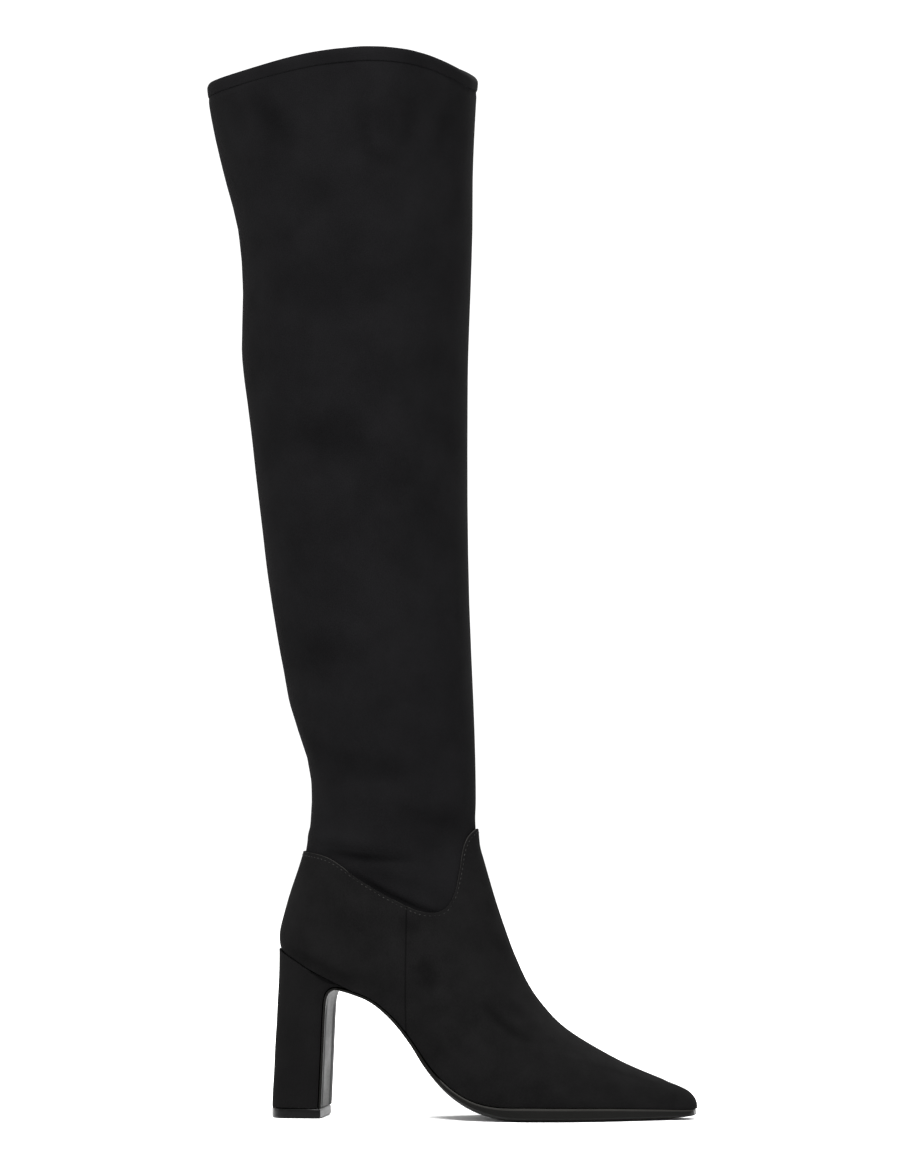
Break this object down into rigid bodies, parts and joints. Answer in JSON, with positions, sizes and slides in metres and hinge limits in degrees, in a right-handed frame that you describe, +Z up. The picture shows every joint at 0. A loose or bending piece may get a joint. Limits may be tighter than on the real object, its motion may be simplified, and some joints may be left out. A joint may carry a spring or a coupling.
{
  "type": "thigh high boot",
  "caption": "Slim stretch boot to above the knee, with a pointed squared-off toe, a lapped ankle seam, a turned hem and a tall slim block heel.",
  "frame": {"origin": "middle of the boot's box in X and Y, on the floor", "axes": "+X towards the toe, +Y towards the inner side of the right leg, +Z up"},
  "size_m": [0.2768, 0.1434, 0.5961],
  "materials": {
    "upper_suede": "black imitation suede, short dense nap, matt",
    "shaft_suede": "black stretch imitation suede, short nap, matt",
    "sole_gloss": "black smooth resin sole, polished edge and heel breast",
    "heel_suede": "block covered in the black imitation suede of the upper",
    "lift": "black moulded top lift, fine grain",
    "insole": "black smooth imitation leather sock"
  },
  "bodies": {
    "root": {"upper": "upper_suede", "shaft": "shaft_suede", "outsole": "sole_gloss", "heel": "heel_suede", "top_lift": "lift", "insole": "insole"}
  },
  "joints": []
}
